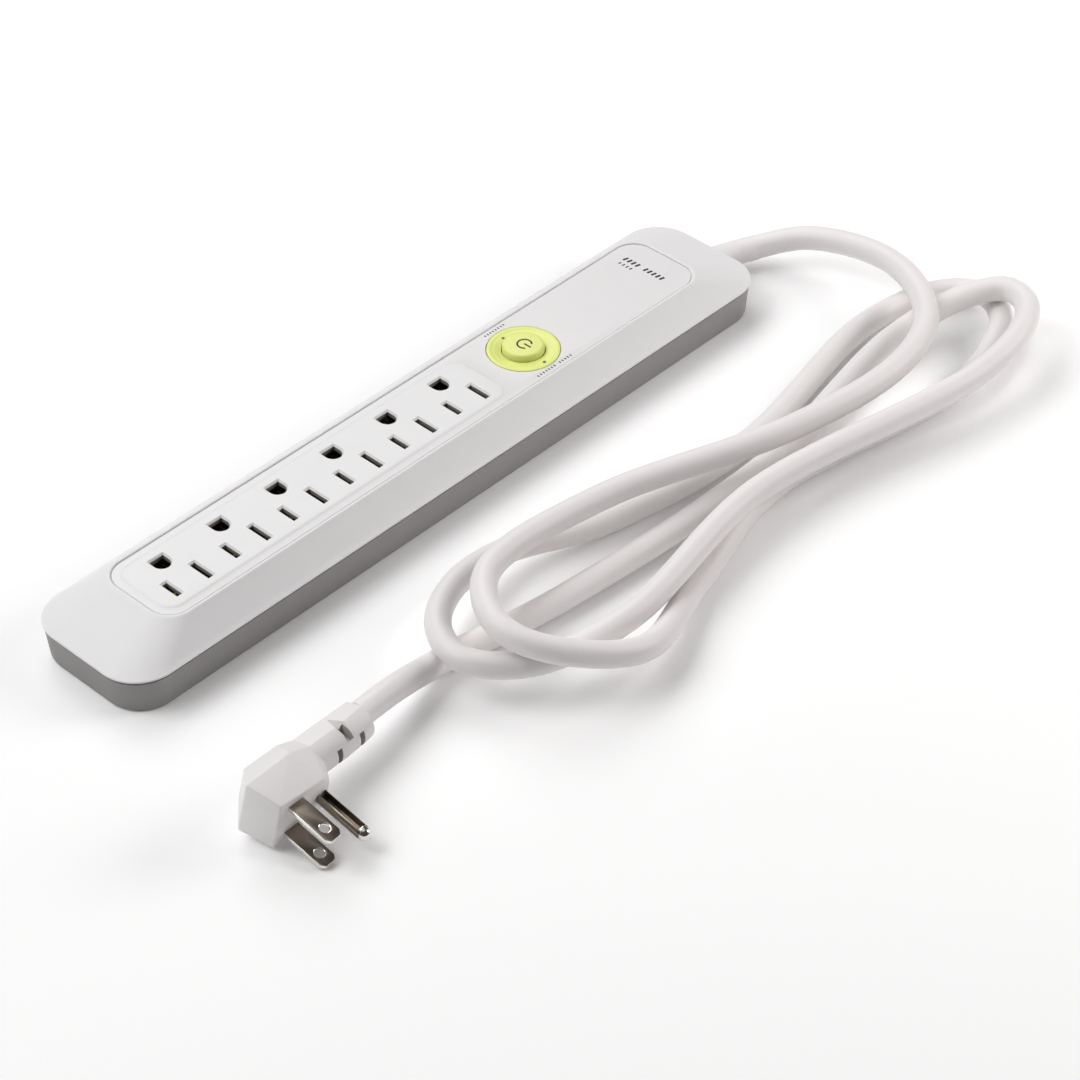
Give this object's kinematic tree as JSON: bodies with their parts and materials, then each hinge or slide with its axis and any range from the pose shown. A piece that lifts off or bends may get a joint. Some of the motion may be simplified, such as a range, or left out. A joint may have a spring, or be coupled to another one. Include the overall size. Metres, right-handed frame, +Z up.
{
  "type": "power strip",
  "caption": "Long white surge-protected power strip with a row of three-hole outlets, a round lime push switch, a grey base and a looped cord ending in a right-angle three-prong plug.",
  "frame": {"origin": "middle of the housing's underside", "axes": "+X along the housing towards the cord end, +Y across it towards the earth holes, +Z up from the surface it rests on"},
  "size_m": [0.3695, 0.1594, 0.0306],
  "materials": {
    "cover_white": "fine spark texture",
    "panel_white": "smooth satin",
    "base_grey": "fine texture",
    "lime": "satin",
    "cord_jacket": "soft matt vinyl",
    "contact_brass": "stamped",
    "blade_nickel": "nickel-plated, brushed",
    "steel": "zinc-plated",
    "switch_black": "moulded",
    "natural_plastic": "moulded nylon",
    "circuit_board": "solder mask",
    "varistor_blue": "dipped coating",
    "fuse_white": "ceramic look",
    "lamp_lens": "clear tinted",
    "wire_black": "vinyl",
    "wire_white": "vinyl",
    "wire_green": "vinyl"
  },
  "bodies": {
    "housing": {"base_tray": "base_grey", "case_screw_1": "steel", "case_screw_2": "steel", "case_screw_3": "steel", "case_screw_4": "steel", "case_screw_5": "steel", "case_screw_6": "steel", "clamp_screw_1": "steel", "clamp_screw_2": "steel", "contact_carrier": "natural_plastic", "cord_clamp": "natural_plastic", "earth_indicator": "lamp_lens", "earth_pin": "blade_nickel", "earth_strip": "contact_brass", "earth_wire": "wire_green", "face_panel": "panel_white", "indicator_board": "circuit_board", "inner_cord_end": "cord_jacket", "line_blade": "blade_nickel", "line_strip": "contact_brass", "line_wire": "wire_black", "neutral_blade": "blade_nickel", "neutral_strip": "contact_brass", "neutral_wire": "wire_white", "plug_body": "cord_jacket", "power_cord": "cord_jacket", "strain_relief": "cord_jacket", "surge_board": "circuit_board", "surge_indicator": "lamp_lens", "switch_bezel": "lime", "switch_body": "switch_black", "switch_spring": "steel", "switched_wire": "wire_black", "terminal_in": "contact_brass", "terminal_out": "contact_brass", "thermal_fuse": "fuse_white", "top_cover": "cover_white", "varistor_1": "varistor_blue", "varistor_2": "varistor_blue", "varistor_3": "varistor_blue"},
    "button": {"switch_button": "lime", "switch_plunger": "natural_plastic"}
  },
  "joints": [
    {"name": "switch_press", "type": "slide", "parent": "housing", "child": "button", "axis": [0, 0, 1], "range_m": [-0.0022, 0], "stiffness_N_per_m": 400, "springref_m": 0.001, "deforming": ["switch_spring"]}
  ]
}
